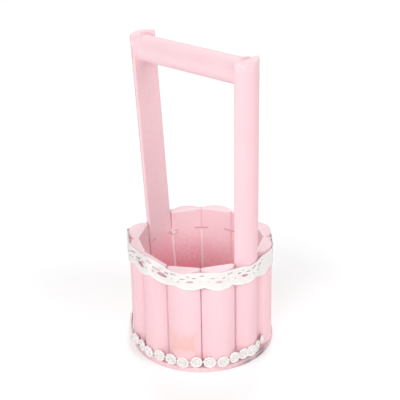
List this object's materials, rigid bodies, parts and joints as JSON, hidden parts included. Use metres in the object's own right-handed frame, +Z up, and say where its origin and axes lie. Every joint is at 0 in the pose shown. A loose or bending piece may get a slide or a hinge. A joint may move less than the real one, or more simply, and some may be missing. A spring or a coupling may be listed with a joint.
{
  "type": "wooden flower basket",
  "caption": "Round basket of upright half-round wooden staves on a disc, with two tall uprights and a round bar as handle, a lace band and a rosette trim.",
  "frame": {"origin": "centre of the round base on its underside, where the basket stands", "axes": "+Z up, +X towards the right-hand upright of the handle, +Y across the handle towards the back; at rest the basket stands on the plane z = 0"},
  "size_m": [0.1228, 0.1169, 0.2461],
  "materials": {
    "painted_wood": "matt pale pink paint, thin enough to show the saw marks",
    "lace_cotton": "white cotton lace ribbon",
    "trim_cotton": "white woven rosette trim",
    "sticker_film": "thin peach film",
    "painted_staple": "painted over with the wood",
    "nail_steel": "bright"
  },
  "bodies": {
    "root": {"base_disc": "painted_wood", "stave_01": "painted_wood", "stave_02": "painted_wood", "stave_03": "painted_wood", "stave_04": "painted_wood", "stave_05": "painted_wood", "stave_06": "painted_wood", "stave_07": "painted_wood", "stave_08": "painted_wood", "stave_09": "painted_wood", "stave_10": "painted_wood", "upright_left": "painted_wood", "upright_right": "painted_wood", "handle_bar": "painted_wood", "lace_band": "lace_cotton", "rosette_trim": "trim_cotton", "label": "sticker_film", "staples": "painted_staple", "handle_nails": "nail_steel", "base_nails": "nail_steel"}
  },
  "joints": []
}
